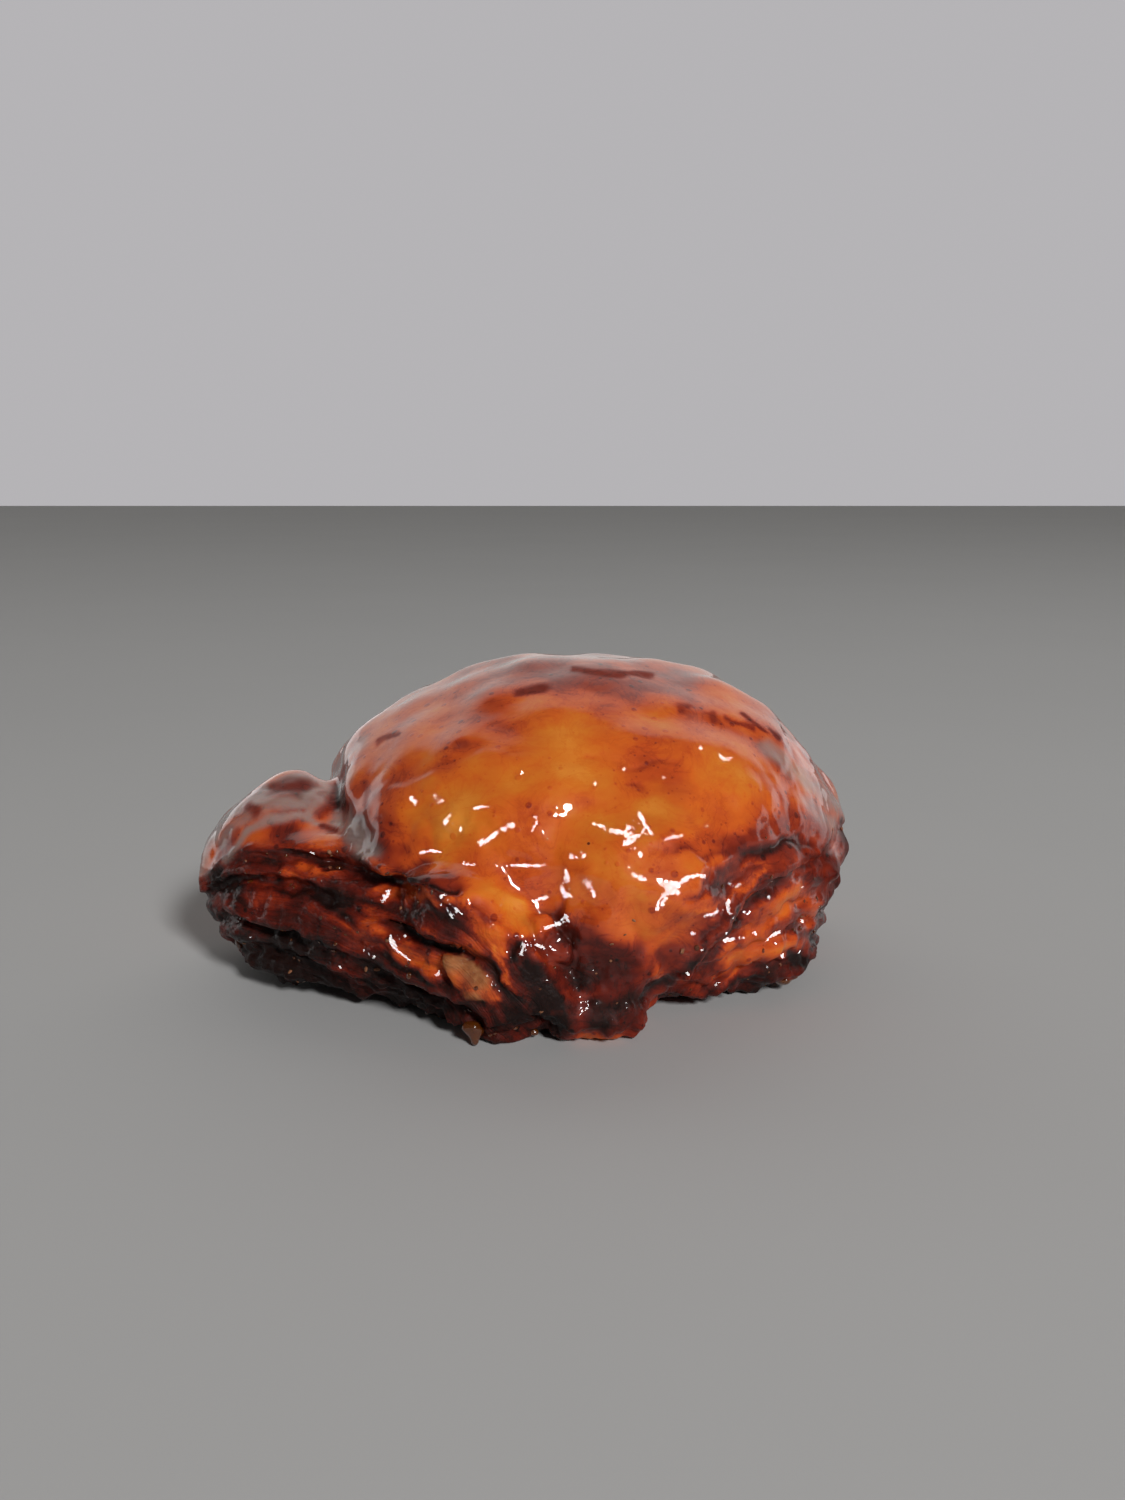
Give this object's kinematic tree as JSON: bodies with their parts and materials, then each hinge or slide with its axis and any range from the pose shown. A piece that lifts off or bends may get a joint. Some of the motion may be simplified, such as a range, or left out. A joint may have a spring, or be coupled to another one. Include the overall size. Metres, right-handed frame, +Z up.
{
  "type": "kouign amann",
  "caption": "Whole caramelised laminated pastry with a tall glazed dome, a swollen folded lobe at one side and flaky layered sides, resting on a flat base.",
  "frame": {"origin": "centre of the pastry's footprint box, on the surface it rests on", "axes": "+Z up from the base to the dome; -Y towards the front corner where the folds meet; +X to the right seen from the front, so the swollen lobe is at -X"},
  "size_m": [0.111, 0.1004, 0.0519],
  "materials": {
    "crust": "baked, sugared crust under clear caramel glaze, golden on the dome to dark brown at the layers; gloss_plastic stands in for food",
    "caramel": "hard clear amber caramel, glossy; gloss_plastic stands in for food",
    "crumb": "pale dry flakes and crumb of the dough; matte_plastic stands in for food"
  },
  "bodies": {
    "root": {"kouign_amann": "crust"}
  },
  "joints": []
}
